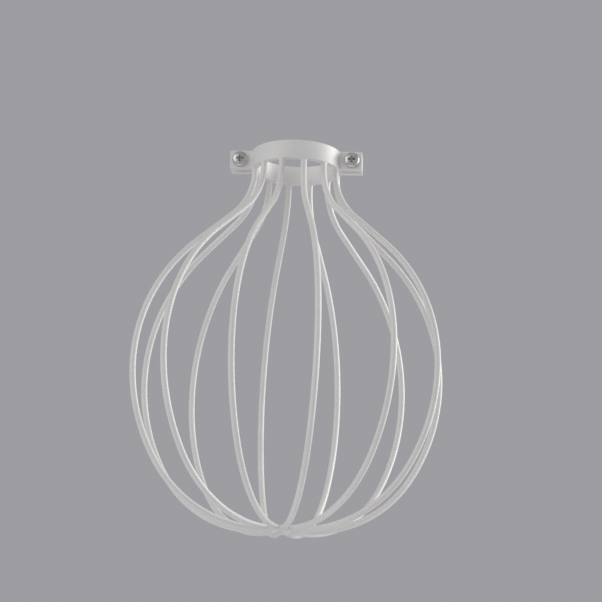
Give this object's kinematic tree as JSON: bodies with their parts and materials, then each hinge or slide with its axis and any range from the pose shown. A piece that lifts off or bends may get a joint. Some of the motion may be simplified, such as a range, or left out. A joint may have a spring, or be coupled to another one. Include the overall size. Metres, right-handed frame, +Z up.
{
  "type": "bulb cage guard",
  "caption": "Globe cage of bent round wires, welded under a split clamp collar that grips a lampholder and to a small ring at the bottom, to keep a globe bulb from knocks.",
  "frame": {"origin": "middle of the split collar, on the axis of the lampholder that it grips", "axes": "+Z up along the lampholder's axis, -Y towards the front half of the collar, the clamp ears along X"},
  "size_m": [0.1566, 0.1566, 0.2002],
  "materials": {
    "white_powder_coat": "satin",
    "zinc_plate": "satin"
  },
  "bodies": {
    "root": {"collar_front": "white_powder_coat", "collar_rear": "white_powder_coat", "wire_front_1": "white_powder_coat", "wire_front_2": "white_powder_coat", "wire_front_3": "white_powder_coat", "wire_front_4": "white_powder_coat", "wire_front_5": "white_powder_coat", "wire_front_6": "white_powder_coat", "wire_rear_1": "white_powder_coat", "wire_rear_2": "white_powder_coat", "wire_rear_3": "white_powder_coat", "wire_rear_4": "white_powder_coat", "wire_rear_5": "white_powder_coat", "wire_rear_6": "white_powder_coat", "bottom_ring": "white_powder_coat", "clamp_screw_left": "zinc_plate", "clamp_nut_left": "zinc_plate", "clamp_screw_right": "zinc_plate", "clamp_nut_right": "zinc_plate"}
  },
  "joints": []
}
